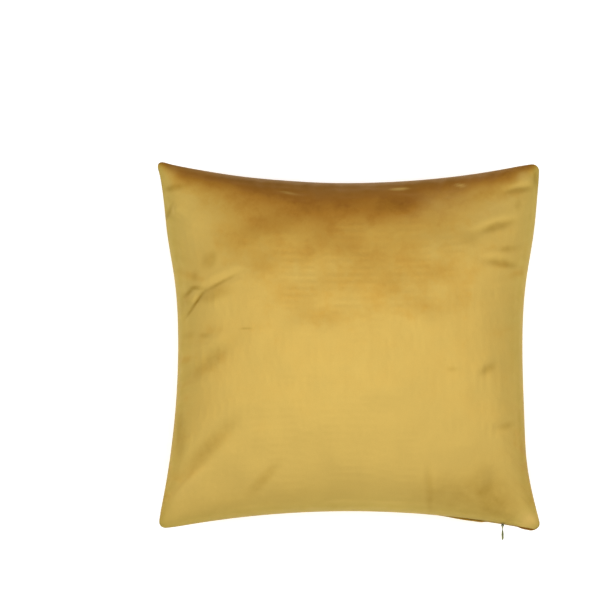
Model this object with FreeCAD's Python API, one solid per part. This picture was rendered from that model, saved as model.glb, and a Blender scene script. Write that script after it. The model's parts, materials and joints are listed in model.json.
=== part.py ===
import FreeCAD, Part

import math
import os

# A square throw pillow: a velvet cover with an invisible zip in one seam, over a fibre-filled insert.
# Millimetres. It lies with its front face up: +X is its right, +Y its top edge and +Z up.
# The zipped edge is at -Y. The origin is the centre of the flat patch that its underside rests on.

# ---- Driving dimensions --------------------------------------------------------------------------

HALF_WIDTH = 219.5  # half the filled cover, to where two sides would meet in a point
HALF_DEPTH = 211.0
CORNER_RADIUS = 10.0
SIDE_PULL_IN = {"zip": 22.2, "top": 24.9, "left": 24.5, "right": 21.9}  # at the middle of each side

SEAM_HEIGHT = 60.0  # the cover's seam lies in one level plane
FRONT_CROWN = 80.0  # rise of the front face above the seam
BACK_CROWN = 72.0  # drop of the back face, if nothing flattened it

VELVET = 0.9  # thickness of the cover fabric
ALLOWANCE = 13.0  # width of the turned-in seam allowance
ALLOWANCE_CLOTH = 0.85  # its thickness, pressed flat in the seam
SHELL_CLOTH = 0.4  # thickness of the insert's own cloth
LAYER_GAP = 0.4  # clear space between one layer and the next
GROOVE_DEPTH = 17.0  # the insert's rim stands back from the seam allowances
GROOVE_HALF_HEIGHT = 5.2

ZIP_HALF_LENGTH = 183.0  # half the opening, along the seam
SLIT_HALF_GAP = 0.65
SLIDER_PLACE = 175.3  # the closed slider, along the seam from the middle of the zip
SLIDER_HALF_LENGTH = 4.35
TAB_LENGTH = 16.3  # from the hinge to the tip

DOME_TOP_ANGLE = 80.0  # where a full dome ends in its small flat top
DOME_STEP = 10.0  # degrees of rise between two sections of a dome
PAST_SURFACE = 5.0  # how far a cutting shape runs past the cover's outer face

Vector = FreeCAD.Vector
UP = Vector(0, 0, 1)


# ---- The outline of the filled cover -------------------------------------------------------------


def side_circle(half_chord, half_span, pull_in):
    """Radius of a side's arc, and how far its centre is from the pillow's centre."""
    radius = (half_chord**2 + pull_in**2) / (2 * pull_in)
    return radius, half_span - pull_in + radius


SIDES = {
    "zip": side_circle(HALF_WIDTH, HALF_DEPTH, SIDE_PULL_IN["zip"]),
    "top": side_circle(HALF_WIDTH, HALF_DEPTH, SIDE_PULL_IN["top"]),
    "left": side_circle(HALF_DEPTH, HALF_WIDTH, SIDE_PULL_IN["left"]),
    "right": side_circle(HALF_DEPTH, HALF_WIDTH, SIDE_PULL_IN["right"]),
}
ZIP_RADIUS, ZIP_CENTRE_DISTANCE = SIDES["zip"]
ZIP_CENTRE = Vector(0, -ZIP_CENTRE_DISTANCE, 0)


def nearest_sides(x, y):
    """The left or right side, and the top or zipped side, that the point faces."""
    return SIDES["right" if x > 0 else "left"], SIDES["top" if y > 0 else "zip"]


def crown_share(x, y, inset):
    """Height of the dome over a point, as a share of its full height."""
    (radius_x, centre_x), (radius_y, centre_y) = nearest_sides(x, y)
    reach_x = centre_x - math.sqrt((radius_x + inset) ** 2 - y**2)
    reach_y = centre_y - math.sqrt((radius_y + inset) ** 2 - x**2)
    u = abs(x) / reach_x
    v = abs(y) / reach_y
    if u >= 1 or v >= 1:
        return 0.0
    return math.sqrt((1 - u**2) * (1 - v**2))


def inside_rounded(x, y, inset):
    """Positive inside the outline with its corners rounded."""
    (radius_x, centre_x), (radius_y, centre_y) = nearest_sides(x, y)
    past_x = math.hypot(abs(x) - centre_x, y) - radius_x - inset - CORNER_RADIUS
    past_y = math.hypot(x, abs(y) - centre_y) - radius_y - inset - CORNER_RADIUS
    return CORNER_RADIUS - math.hypot(min(past_x, 0), min(past_y, 0))


def farthest(test, angle):
    """Distance from the centre, along a direction, at which a test stops being positive."""
    low, high = 0.0, 1.5 * HALF_WIDTH
    for _ in range(50):
        middle = (low + high) / 2
        if test(middle * math.cos(angle), middle * math.sin(angle)) > 0:
            low = middle
        else:
            high = middle
    return low


def reach(angle, level, inset):
    """Distance to the dome's contour at a level. Level 0 is the outline, with rounded corners.

    The rounding fades out up the dome, whose higher contours are round by themselves.
    """
    rounded = farthest(lambda x, y: inside_rounded(x, y, inset), angle)
    if level == 0:
        return rounded
    pointed = farthest(lambda x, y: crown_share(x, y, inset), angle)
    cut_back = (1 - rounded / pointed) * (1 - level) ** 3
    return farthest(lambda x, y: crown_share(x, y, inset) - level, angle) * (1 - cut_back)


def contour_angles():
    """Directions to the points of a contour, close together where it turns a corner."""
    half_side = [0, 0.005, 0.01, 0.015, 0.022, 0.04, 0.075, 0.13, 0.21, 0.31, 0.42]
    shares = half_side + [1 - share for share in reversed(half_side[1:])]
    corner = math.atan2(HALF_DEPTH, HALF_WIDTH)
    corners = [corner, math.pi - corner, math.pi + corner, 2 * math.pi - corner, 2 * math.pi + corner]
    return [
        start + (end - start) * share
        for start, end in zip(corners, corners[1:])
        for share in shares
    ]


ANGLES = contour_angles()


def contour_points(level, inset, z):
    points = []
    for angle in ANGLES:
        distance = reach(angle, level, inset)
        points.append(Vector(distance * math.cos(angle), distance * math.sin(angle), z))
    return points


def outline_lengths():
    """Share of the outline's length at each point: every contour's curve uses the same ones."""
    points = contour_points(0, 0, 0)
    lengths = [0.0]
    for point, following in zip(points, points[1:] + points[:1]):
        lengths.append(lengths[-1] + point.distanceToPoint(following))
    return [length / lengths[-1] for length in lengths]


CURVE_PARAMETERS = outline_lengths()


def contour(level, inset, z):
    curve = Part.BSplineCurve()
    curve.interpolate(
        Points=contour_points(level, inset, z), PeriodicFlag=True, Parameters=CURVE_PARAMETERS
    )
    return Part.Wire(curve.toShape())


# ---- Shapes that every layer is made of ----------------------------------------------------------


def dome(inset, crown, top_angle, up):
    """Solid between the seam plane and a domed face. A layer's inset also lowers its crown."""
    steps = round(top_angle / DOME_STEP)
    height = crown - inset
    sections = []
    for step in range(steps + 1):
        rise = math.sin(math.radians(top_angle * step / steps))
        sections.append(contour(rise, inset, SEAM_HEIGHT + up * height * rise))
    return Part.makeLoft(sections, True, False)


def front_dome(inset):
    return dome(inset, FRONT_CROWN, DOME_TOP_ANGLE, 1)


def back_dome(inset):
    """The back's dome ends in the flat patch that rests on the surface below."""
    flat_at = (SEAM_HEIGHT - inset) / (BACK_CROWN - inset)
    return dome(inset, BACK_CROWN, math.degrees(math.asin(flat_at)), -1)


def ring(outer_inset, inner_inset, low, high):
    """Flat ring that follows the outline. Heights are from the seam plane."""
    z = SEAM_HEIGHT + low
    outer = Part.Face(contour(0, outer_inset, z))
    inner = Part.Face(contour(0, inner_inset, z))
    return outer.cut(inner).extrude(UP * (high - low))


def side_bar(side, inner, outer, low, high, start, end):
    """Bar of rectangular section that follows a long side's arc.

    inner and outer are distances out from the seam line, low and high are heights from the
    seam plane, and start and end are distances along the seam line from its middle, positive
    towards +X.
    """
    radius, distance = SIDES[side]
    start_angle = math.degrees(start / radius)
    turn = math.degrees((end - start) / radius)
    facing = 1 if side == "zip" else -1
    centre = Vector(0, -facing * distance, 0)
    corners = [(inner, low), (outer, low), (outer, high), (inner, high), (inner, low)]
    section = Part.Face(
        Part.makePolygon(
            [centre + Vector(0, facing * (radius - out), SEAM_HEIGHT + z) for out, z in corners]
        )
    )
    section.rotate(centre, UP, -facing * start_angle)
    return section.revolve(centre, UP, -facing * turn)


def zip_bar(inner, outer, low, high, start=-ZIP_HALF_LENGTH, end=ZIP_HALF_LENGTH):
    return side_bar("zip", inner, outer, low, high, start, end)


def mirrored(shape):
    """The same shape on the other side of the seam plane."""
    return shape.mirror(Vector(0, 0, SEAM_HEIGHT), UP)


def joined(shapes):
    return shapes[0].multiFuse(shapes[1:]).removeSplitter() if len(shapes) > 1 else shapes[0]


# ---- The cover -----------------------------------------------------------------------------------

PLATE_END = ZIP_HALF_LENGTH + 2.3  # the flat allowance gives way to the zip's turned edges
TURN_IN = -1.8  # inner face of the fabric that is turned in at the slit
ZIP_ALLOWANCE_LOW = 3.85
ZIP_ALLOWANCE_HIGH = ZIP_ALLOWANCE_LOW + ALLOWANCE_CLOTH
ZIP_ALLOWANCE_END = -14.0
THREAD = 0.28
SEAM_INSET = 3.0  # the panels are sewn together this far in from the outline
THREAD_CLEAR = 0.06  # thread lies this far off the cloth
OVERLOCK_WIDTH = 2.0
OVERLOCK_THREAD = 0.35
TACK_INNER, TACK_OUTER = -6.0, -3.0
TACK_WIDTH = 1.8
TACK_GAP = 2.3  # from the end of the turned edges to the tack
TACK_THICKNESS = 0.5


def beside_zip(depth, half_length):
    """A block over the zip's stretch of the seam, to cut away what the plain sides have there."""
    return zip_bar(-depth, PAST_SURFACE, -2, 2, -half_length, half_length)


def cover_panel(outer, inner, up):
    """One panel: its domed wall, its flat seam allowance, and the turned edge along the zip."""
    flip = mirrored if up < 0 else (lambda shape: shape)
    plate = ring(-PAST_SURFACE, ALLOWANCE, -1, ALLOWANCE_CLOTH)
    plate = plate.cut(beside_zip(2 * ALLOWANCE, PLATE_END))
    turned = zip_bar(TURN_IN, PAST_SURFACE, SLIT_HALF_GAP, ZIP_ALLOWANCE_HIGH)
    allowance = zip_bar(ZIP_ALLOWANCE_END, PAST_SURFACE, ZIP_ALLOWANCE_LOW, ZIP_ALLOWANCE_HIGH)
    hollow = inner.cut([flip(plate), flip(joined([turned, allowance]))])
    slit = flip(zip_bar(TURN_IN - 1, PAST_SURFACE, -1, SLIT_HALF_GAP))
    return outer.cut([hollow, slit])


def cover_seam_stitching():
    """Lockstitch runs on both faces of the allowances, round the three plain sides."""
    low = ALLOWANCE_CLOTH + THREAD_CLEAR
    run = ring(SEAM_INSET, SEAM_INSET + THREAD, low, low + THREAD)
    run = run.cut(beside_zip(2 * SEAM_INSET, PLATE_END))
    return Part.makeCompound([run, mirrored(run)])


def cover_overlock_edging():
    """Thread wrapped over the raw edges: both together on plain sides, one by one at the zip."""
    cloth = ALLOWANCE_CLOTH + THREAD_CLEAR
    edge = ALLOWANCE + THREAD_CLEAR
    thick = cloth + OVERLOCK_THREAD
    wrap = ring(edge - OVERLOCK_WIDTH, edge + OVERLOCK_THREAD, -thick, thick)
    wrap = wrap.cut(ring(edge - 2 * OVERLOCK_WIDTH, edge, -cloth, cloth))
    wrap = wrap.cut(beside_zip(2 * ALLOWANCE, PLATE_END + TACK_GAP))
    outer = ZIP_ALLOWANCE_END - THREAD_CLEAR
    bead = zip_bar(outer - 2 * OVERLOCK_THREAD, outer, ZIP_ALLOWANCE_LOW, ZIP_ALLOWANCE_HIGH)
    return Part.makeCompound([wrap, bead, mirrored(bead)])


# ---- The zip -------------------------------------------------------------------------------------

COIL_INNER, COIL_OUTER = -5.4, -3.2  # depth of the coils behind the seam line
COIL_LOW, COIL_HIGH = 0.8, 2.1
COIL_START, COIL_END = -176.9, 180.3  # along the seam
TAPE_INNER, TAPE_OUTER = -4.6, -4.2
TAPE_FLAT_LOW, TAPE_FLAT_HIGH = 3.4, 3.8
TAPE_END = -16.0
ZIP_SEAM_DEPTH = -9.0
STOP_GRIP = 0.3  # how far the stops reach past the coils
TOP_STOP_WIDTH = 1.8
BOTTOM_STOP_WIDTH = 4.6
COIL_TO_STOP = 0.45


def zip_tape():
    """The woven tape stands beside its coil, then turns and runs in along the allowance."""
    web = zip_bar(TAPE_INNER, TAPE_OUTER, COIL_HIGH, TAPE_FLAT_HIGH)
    flat = zip_bar(TAPE_END, TAPE_OUTER, TAPE_FLAT_LOW, TAPE_FLAT_HIGH)
    return joined([web, flat])


def zip_coil():
    return zip_bar(COIL_INNER, COIL_OUTER, COIL_LOW, COIL_HIGH, COIL_START, COIL_END)


def zip_stitching():
    """Thread runs on the tape's inner face and on the allowance's other face."""
    on_tape = TAPE_FLAT_LOW - THREAD_CLEAR - THREAD
    on_allowance = ZIP_ALLOWANCE_HIGH + THREAD_CLEAR
    runs = [
        zip_bar(ZIP_SEAM_DEPTH, ZIP_SEAM_DEPTH + THREAD, low, low + THREAD)
        for low in (on_tape, on_allowance)
    ]
    return Part.makeCompound(runs)


def stop_clip(low, start, width):
    """A clip round the coil's end, with a slot that the tape stands in."""
    inner, outer = COIL_INNER - STOP_GRIP, COIL_OUTER + STOP_GRIP
    clip = zip_bar(inner, outer, low, COIL_HIGH + STOP_GRIP, start, start + width)
    slot_inner, slot_outer = TAPE_INNER - THREAD_CLEAR, TAPE_OUTER + THREAD_CLEAR
    slot = zip_bar(slot_inner, slot_outer, COIL_HIGH - THREAD_CLEAR, TAPE_FLAT_LOW)
    return clip.cut([slot, mirrored(slot)])


def zip_top_stops():
    """A small stop clamped on the closed end of each coil."""
    stop = stop_clip(COIL_LOW, COIL_END + COIL_TO_STOP, TOP_STOP_WIDTH)
    return Part.makeCompound([stop, mirrored(stop)])


def zip_bottom_stop():
    """One clip that holds both coils together at the open end."""
    half = stop_clip(0, COIL_START - COIL_TO_STOP - BOTTOM_STOP_WIDTH, BOTTOM_STOP_WIDTH)
    return joined([half, mirrored(half)])


def zip_end_tacks():
    """Bar tacks across the seam allowances, one past each end of the zip, on both faces."""
    low = ALLOWANCE_CLOTH + THREAD_CLEAR
    near = PLATE_END + TACK_GAP
    far = near + TACK_WIDTH
    tacks = []
    for start, end in ((-far, -near), (near, far)):
        tack = zip_bar(TACK_INNER, TACK_OUTER, low, low + TACK_THICKNESS, start, end)
        tacks += [tack, mirrored(tack)]
    return Part.makeCompound(tacks)


# ---- The slider and its pull tab -----------------------------------------------------------------

PLATE_HALF_WIDTH = 3.0
OUTER_PLATE = (-2.9, -2.1)  # depths of the plate outside the coils
INNER_PLATE = (-6.6, -5.7)
FLANGE_LOW = 2.4
FLANGE_REACH = 0.8  # how far the flanges come round the coils from each plate
SPINE_HALF = 0.5  # half thickness of the spine, neck and arch, which pass through the slit
NECK_HALF_LENGTH = 1.4
ARCH_OUT = 2.0  # how far the arch's hole stands out from the seam line
ARCH_RADIUS = 1.6
ARCH_HOLE_RADIUS = 0.72
HINGE_BAR_RADIUS = 0.65
LEG_INNER, LEG_OUTER = 0.6, 1.9
SLOT_END = 1.9
BRIDGE_END = 3.4


def hinge_point():
    """Centre of the arch's hole with the zip closed."""
    angle = SLIDER_PLACE / ZIP_RADIUS
    radius = ZIP_RADIUS - ARCH_OUT
    return ZIP_CENTRE + Vector(radius * math.sin(angle), radius * math.cos(angle), SEAM_HEIGHT)


def upright_cylinder(radius, centre, half_height):
    return Part.makeCylinder(radius, 2 * half_height, centre - UP * half_height)


def zip_slider_body():
    """Two plates that hold the coils between them, joined by a spine, with the arch outside."""
    start, end = SLIDER_PLACE - SLIDER_HALF_LENGTH, SLIDER_PLACE + SLIDER_HALF_LENGTH
    neck_start, neck_end = SLIDER_PLACE - NECK_HALF_LENGTH, SLIDER_PLACE + NECK_HALF_LENGTH
    spine_inner, spine_outer = INNER_PLATE[0], OUTER_PLATE[1]
    parts = [
        zip_bar(*OUTER_PLATE, -PLATE_HALF_WIDTH, PLATE_HALF_WIDTH, start, end),
        zip_bar(*INNER_PLATE, -PLATE_HALF_WIDTH, PLATE_HALF_WIDTH, start, end),
        zip_bar(spine_inner, spine_outer, -SPINE_HALF, SPINE_HALF, start, end),
        zip_bar(OUTER_PLATE[0], ARCH_OUT, -SPINE_HALF, SPINE_HALF, neck_start, neck_end),
        upright_cylinder(ARCH_RADIUS, hinge_point(), SPINE_HALF),
    ]
    flange_depths = (
        (OUTER_PLATE[0] - FLANGE_REACH, OUTER_PLATE[1]),
        (INNER_PLATE[0], INNER_PLATE[1] + FLANGE_REACH),
    )
    for inner, outer in flange_depths:
        flange = zip_bar(inner, outer, FLANGE_LOW, PLATE_HALF_WIDTH, start, end)
        parts += [flange, mirrored(flange)]
    return joined(parts).cut(upright_cylinder(ARCH_HOLE_RADIUS, hinge_point(), 2 * SPINE_HALF))


# Distance out from the hinge, half thickness and half width, down the neck and the paddle
TAB_SECTIONS = [
    (3.0, 0.5, 1.5),
    (5.2, 0.5, 1.15),
    (7.5, 0.75, 1.6),
    (10.8, 1.05, 2.2),
    (14.0, 0.95, 1.9),
    (15.6, 0.7, 1.3),
    (TAB_LENGTH, 0.3, 0.6),
]


def oval(centre, half_thickness, half_width):
    """Oval across the tab: its long axis is upright."""
    width_end = centre + UP * half_width
    thickness_end = centre + Vector(half_thickness, 0, 0)
    return Part.Wire(Part.Ellipse(width_end, thickness_end, centre).toShape())


def zip_pull_tab():
    """A bar through the arch, two legs, a thin neck, and a paddle with a rounded tip."""
    hinge = hinge_point()
    leg_size = Vector(2 * HINGE_BAR_RADIUS, BRIDGE_END, LEG_OUTER - LEG_INNER)
    parts = [upright_cylinder(HINGE_BAR_RADIUS, hinge, LEG_OUTER)]
    for low in (LEG_INNER, -LEG_OUTER):
        corner = hinge + Vector(-HINGE_BAR_RADIUS, -BRIDGE_END, low)
        parts.append(Part.makeBox(*leg_size, corner))
    corner = hinge + Vector(-HINGE_BAR_RADIUS, -BRIDGE_END, -LEG_OUTER)
    parts.append(
        Part.makeBox(2 * HINGE_BAR_RADIUS, BRIDGE_END - SLOT_END, 2 * LEG_OUTER, corner)
    )
    ovals = [oval(hinge - Vector(0, out, 0), thick, wide) for out, thick, wide in TAB_SECTIONS]
    parts.append(Part.makeLoft(ovals, True, False))
    return joined(parts)


# ---- The insert ----------------------------------------------------------------------------------

INSERT_INSET = VELVET + LAYER_GAP
INSERT_INNER = INSERT_INSET + SHELL_CLOTH
FILL_INSET = INSERT_INNER + LAYER_GAP
INSERT_THREAD_HALF = 0.5  # half the width of the insert's edge seam
CLOSING_THREAD = 0.6
CLOSING_HALF_LENGTH = 92.5  # the stretch of the top side that was left open for filling


def grooved(solid, inset):
    """A layer of the insert, cut back all round its rim to clear the allowances and the zip."""
    extra = inset - INSERT_INSET
    half_height = GROOVE_HALF_HEIGHT + extra
    return solid.cut(ring(-PAST_SURFACE, GROOVE_DEPTH + extra, -half_height, half_height))


def insert_panel(make_dome):
    outer = grooved(make_dome(INSERT_INSET), INSERT_INSET)
    return outer.cut(grooved(make_dome(INSERT_INNER), INSERT_INNER))


def insert_fibre_fill():
    """The loose fibre, as one body the shape of the space inside the insert's shell."""
    front = grooved(front_dome(FILL_INSET), FILL_INSET)
    back = grooved(back_dome(FILL_INSET), FILL_INSET)
    return front.fuse(back)


def insert_seam_stitching():
    """Thread in the insert's own edge seam, on every side but the closed-up stretch."""
    inner = GROOVE_DEPTH - THREAD_CLEAR
    run = ring(inner - THREAD, inner, -INSERT_THREAD_HALF, INSERT_THREAD_HALF)
    gap_half = CLOSING_HALF_LENGTH + 1
    return run.cut(side_bar("top", -2 * GROOVE_DEPTH, 0, -2, 2, -gap_half, gap_half))


def insert_closing_stitching():
    """Coarser thread that closes the filling gap."""
    inner = -GROOVE_DEPTH + THREAD_CLEAR
    half = 1.6 * INSERT_THREAD_HALF
    ends = (-CLOSING_HALF_LENGTH, CLOSING_HALF_LENGTH)
    return side_bar("top", inner, inner + CLOSING_THREAD, -half, half, *ends)


# ---- Every piece ---------------------------------------------------------------------------------


def build():
    tape = zip_tape()
    coil = zip_coil()
    stitching = zip_stitching()
    return {
        "cover_front_panel": cover_panel(front_dome(0), front_dome(VELVET), 1),
        "cover_back_panel": cover_panel(back_dome(0), back_dome(VELVET), -1),
        "cover_seam_stitching": cover_seam_stitching(),
        "cover_overlock_edging": cover_overlock_edging(),
        "zip_front_tape": tape,
        "zip_back_tape": mirrored(tape),
        "zip_front_coil": coil,
        "zip_back_coil": mirrored(coil),
        "zip_front_stitching": stitching,
        "zip_back_stitching": mirrored(stitching),
        "zip_top_stops": zip_top_stops(),
        "zip_bottom_stop": zip_bottom_stop(),
        "zip_end_tacks": zip_end_tacks(),
        "zip_slider_body": zip_slider_body(),
        "zip_pull_tab": zip_pull_tab(),
        "insert_front_panel": insert_panel(front_dome),
        "insert_back_panel": insert_panel(back_dome),
        "insert_seam_stitching": insert_seam_stitching(),
        "insert_closing_stitching": insert_closing_stitching(),
        "insert_fibre_fill": insert_fibre_fill(),
    }


def main():
    os.makedirs("parts", exist_ok=True)
    for name, shape in build().items():
        shape.exportStep(f"parts/{name}.step")
        box = shape.BoundBox
        print(
            f"{name:26s} valid {shape.isValid()} solids {len(shape.Solids)} "
            f"volume {shape.Volume / 1000:9.3f} cm3  x {box.XMin:.1f}..{box.XMax:.1f} "
            f"y {box.YMin:.1f}..{box.YMax:.1f} z {box.ZMin:.1f}..{box.ZMax:.1f}"
        )


main()
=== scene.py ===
import json
import math

import bpy
import numpy as np
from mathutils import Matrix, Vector


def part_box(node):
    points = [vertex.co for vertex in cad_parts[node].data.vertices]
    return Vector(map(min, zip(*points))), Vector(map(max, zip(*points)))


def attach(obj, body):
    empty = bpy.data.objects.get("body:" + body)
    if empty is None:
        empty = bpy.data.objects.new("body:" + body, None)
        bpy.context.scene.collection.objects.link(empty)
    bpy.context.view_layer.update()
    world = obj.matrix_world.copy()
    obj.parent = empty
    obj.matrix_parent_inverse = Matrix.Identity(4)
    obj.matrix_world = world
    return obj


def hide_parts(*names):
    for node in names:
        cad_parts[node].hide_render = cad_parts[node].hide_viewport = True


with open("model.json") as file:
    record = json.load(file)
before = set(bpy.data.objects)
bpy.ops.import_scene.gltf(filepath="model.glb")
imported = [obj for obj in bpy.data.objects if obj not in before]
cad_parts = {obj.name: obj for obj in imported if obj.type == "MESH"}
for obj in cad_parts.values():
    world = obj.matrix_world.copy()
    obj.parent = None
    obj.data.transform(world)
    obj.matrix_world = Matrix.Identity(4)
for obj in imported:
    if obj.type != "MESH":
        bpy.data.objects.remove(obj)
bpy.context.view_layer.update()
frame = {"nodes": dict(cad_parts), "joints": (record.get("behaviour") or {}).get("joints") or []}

MM = 0.001

# ---- Sizes that the looks add to the frame ----

FLAT_SIDE = 450 * MM  # the sewn cover before it was filled
CORNER_RADIUS = 10 * MM
VELVET_THICKNESS = 0.8 * MM
SIM_CELLS = 96  # cloth cells along a side
REFINE = 2  # each cloth cell is divided into this many
SIM_FRAMES = 24
FRONT_START, BACK_START = 0.95, 0.96  # share of its height that each face has before it settles
RIM_FADE = 9 * MM  # the panel rises to its rolled edge over this distance
RIM_SHADE = 14 * MM  # painted shade darkens the pile within about this distance of the seam
SEAM_WAVE = 1.3 * MM  # how far the plain seams wander up and down
# Where the right side (1) and the left (-1) are pushed out: place up the side, spread, push, in mm
SIDE_PUSHES = {1: [(132, 58, 5.6), (-140, 55, -4.2)], -1: [(125, 48, 4.0)]}
# Where the corners are pushed out: place, spread, push, in mm
CORNER_PUSHES = [(-219, 211, 11, 3.2), (-219, -211, 16, -2.4), (219, 211, 16, -2.4)]
FACES = (("front", 1), ("back", -1))  # each face of the pillow, and which way is out of it

SEAM_Z = frame["joints"][0]["pos_m"][2]
ZIP_CENTRE = np.array(frame["joints"][0]["pos_m"][:2])
TAB_X = frame["joints"][1]["pos_m"][0]
FRONT_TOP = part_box("cover_front_panel")[1].z


# ---- Small mesh tools ----


def drawn(points):
    """The points moved as the cover's plain sides are drawn unevenly by their seams."""
    x, y = points[:, 0] / MM, points[:, 1] / MM
    moved = points.copy()
    by_seam = smoothstep(130, 205, np.maximum(np.abs(x), y)) * smoothstep(-170, -120, y)
    by_seam *= smoothstep(45, 8, np.abs(points[:, 2] - SEAM_Z) / MM)
    moved[:, 2] += SEAM_WAVE * by_seam * smooth_noise(x, y, 110, 8)
    for way, pushes in SIDE_PUSHES.items():
        near = smoothstep(100, 215, way * x)
        for at, width, push in pushes:
            moved[:, 0] += way * near * push * MM * bell(y - at, width)
    for corner_x, corner_y, width, push in CORNER_PUSHES:
        share = push * MM * bell(np.hypot(x - corner_x, y - corner_y), width)
        moved[:, 0] += share * math.copysign(0.7, corner_x)
        moved[:, 1] += share * math.copysign(0.7, corner_y)
    return moved


def placed(name, data):
    """A new object in the scene."""
    made = bpy.data.objects.new(name, data)
    bpy.context.scene.collection.objects.link(made)
    return made


def piece(name, verts, faces, material):
    """A new piece of the cushion from arrays of vertices and faces."""
    mesh = bpy.data.meshes.new(name)
    mesh.from_pydata(drawn(np.asarray(verts)).tolist(), [], [list(map(int, f)) for f in faces])
    mesh.validate()
    mesh.shade_smooth()
    mesh.materials.append(material)
    made = placed(name, mesh)
    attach(made, "cushion")
    return made


def mesh_arrays(mesh):
    """Places and normals of a mesh's vertices."""
    arrays = []
    for key in ("co", "normal"):
        values = np.zeros(len(mesh.vertices) * 3)
        mesh.vertices.foreach_get(key, values)
        arrays.append(values.reshape(-1, 3))
    return arrays


def apply_modifiers(made):
    """Turn a piece's modifiers into plain mesh."""
    graph = bpy.context.evaluated_depsgraph_get()
    graph.update()
    mesh = bpy.data.meshes.new_from_object(made.evaluated_get(graph))
    made.modifiers.clear()
    made.data = mesh


def grid_faces(index, flip=False):
    """Quads of a grid of vertex numbers."""
    corners = [index[:-1, :-1], index[1:, :-1], index[1:, 1:], index[:-1, 1:]]
    quads = np.stack(corners, -1).reshape(-1, 4)
    return quads[:, ::-1] if flip else quads


def grid_normals(points):
    """Unit normals of a grid of points, upward where the grid runs along +X then +Y."""
    along_x = np.gradient(points, axis=0)
    along_y = np.gradient(points, axis=1)
    normals = np.cross(along_x, along_y)
    return normals / np.maximum(np.linalg.norm(normals, axis=-1, keepdims=True), 1e-12)


def smooth_noise(x, y, size, seed, waves=14):
    """Even, repeatable unevenness from -1 to 1, with features of about a given size."""
    draw = np.random.RandomState(seed)
    total = np.zeros_like(x)
    for _ in range(waves):
        heading = draw.uniform(0, 2 * math.pi)
        length = size * draw.uniform(0.7, 1.6)
        phase = draw.uniform(0, 2 * math.pi)
        along = x * math.cos(heading) + y * math.sin(heading)
        total += np.sin(along * 2 * math.pi / length + phase)
    return total / math.sqrt(waves)


def smoothstep(low, high, value):
    t = np.clip((value - low) / (high - low), 0, 1)
    return t * t * (3 - 2 * t)


def bell(away, width):
    return np.exp(-((away / width) ** 2))


def level(points, height):
    """Points in the plane, at a height in millimetres above the seam."""
    return np.column_stack([points, np.full(len(points), SEAM_Z + height * MM)])


def run_lengths(points):
    """Length along a line of points, up to each of them."""
    steps = np.linalg.norm(np.diff(points, axis=0), axis=1)
    return np.concatenate([[0], np.cumsum(steps)])


# ---- The cover's outline, read from the CAD cover ----


def rim_points():
    """Points where the CAD cover's outward faces come down to the seam."""
    mesh = frame["nodes"]["cover_front_panel"].data
    numbers = set()
    for face in mesh.polygons:
        outward = face.center.xy.normalized()
        if face.center.z - SEAM_Z < 6 * MM and face.normal.xy.dot(outward) > 0.4:
            numbers.update(face.vertices)
    points = np.array([mesh.vertices[n].co[:] for n in sorted(numbers)])
    return points[points[:, 2] - SEAM_Z < 0.8 * MM, :2]


def fitted_circle(points):
    """Centre and radius of the circle through some points."""
    sums = np.column_stack([points, np.ones(len(points))])
    a, b, c = np.linalg.lstsq(sums, (points**2).sum(1), rcond=None)[0]
    return np.array([a / 2, b / 2]), math.sqrt(c + (a**2 + b**2) / 4)


def side_circles():
    points = rim_points()
    heading = np.degrees(np.arctan2(points[:, 1], points[:, 0]))
    circles = {}
    for name, middle in (("right", 0), ("top", 90), ("left", 180), ("zip", -90)):
        away = np.abs((heading - middle + 180) % 360 - 180)
        circles[name] = fitted_circle(points[away < 36])
    return circles


CIRCLES = side_circles()
SIDE_MIDDLE = CIRCLES["zip"][0][1] + CIRCLES["zip"][1]
ZIP_RADIUS = SIDE_MIDDLE - ZIP_CENTRE[1]  # about the axis that the slider turns on


def zip_angle(points):
    """Angle of points about the centre of the zipped side's arc, positive towards +X."""
    return np.arctan2(points[..., 0] - ZIP_CENTRE[0], points[..., 1] - ZIP_CENTRE[1])


def zip_angles(node):
    """Angles of a CAD piece's points that are near the zipped side."""
    points = np.array([vertex.co[:2] for vertex in frame["nodes"][node].data.vertices])
    angles = zip_angle(points)
    depth = np.linalg.norm(points - ZIP_CENTRE, axis=1) - ZIP_RADIUS
    return angles[(depth < 20 * MM) & (np.abs(points[:, 0]) < 195 * MM)]


ZIP_HALF_ANGLE = zip_angles("zip_front_tape").max()
COIL_START, COIL_END = zip_angles("zip_front_coil").min(), zip_angles("zip_front_coil").max()
TACK_MIDDLE = zip_angles("zip_end_tacks").max() - 0.9 * MM / ZIP_RADIUS
PAST_ZIP = ZIP_HALF_ANGLE + 2.3 * MM / ZIP_RADIUS  # the plain seam begins here


def past_side(x, y, first, second, use_first, inset):
    """How far points are inside a side, less the inset and the corner radius."""
    near, far = CIRCLES[first], CIRCLES[second]
    from_near = np.hypot(x - near[0][0], y - near[0][1]) - near[1]
    from_far = np.hypot(x - far[0][0], y - far[0][1]) - far[1]
    return np.where(use_first, from_near, from_far) - inset - CORNER_RADIUS


def inside_outline(x, y, inset):
    past_x = past_side(x, y, "right", "left", x > 0, inset)
    past_y = past_side(x, y, "top", "zip", y > 0, inset)
    return np.hypot(np.minimum(past_x, 0), np.minimum(past_y, 0)) < CORNER_RADIUS


def reach(heading, inset=0.0):
    """Distance from the centre to the outline, drawn in by an inset."""
    low = np.zeros_like(heading)
    high = low + 0.33
    for _ in range(40):
        middle = (low + high) / 2
        inside = inside_outline(middle * np.cos(heading), middle * np.sin(heading), inset)
        low = np.where(inside, middle, low)
        high = np.where(inside, high, middle)
    return low


def outline(heading, inset=0.0):
    distance = reach(heading, inset)
    return np.stack([distance * np.cos(heading), distance * np.sin(heading)], -1)


def from_outline(x, y):
    """How far points are inside the outline, along the line from the middle."""
    return reach(np.arctan2(y, x)) - np.hypot(x, y)


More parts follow.
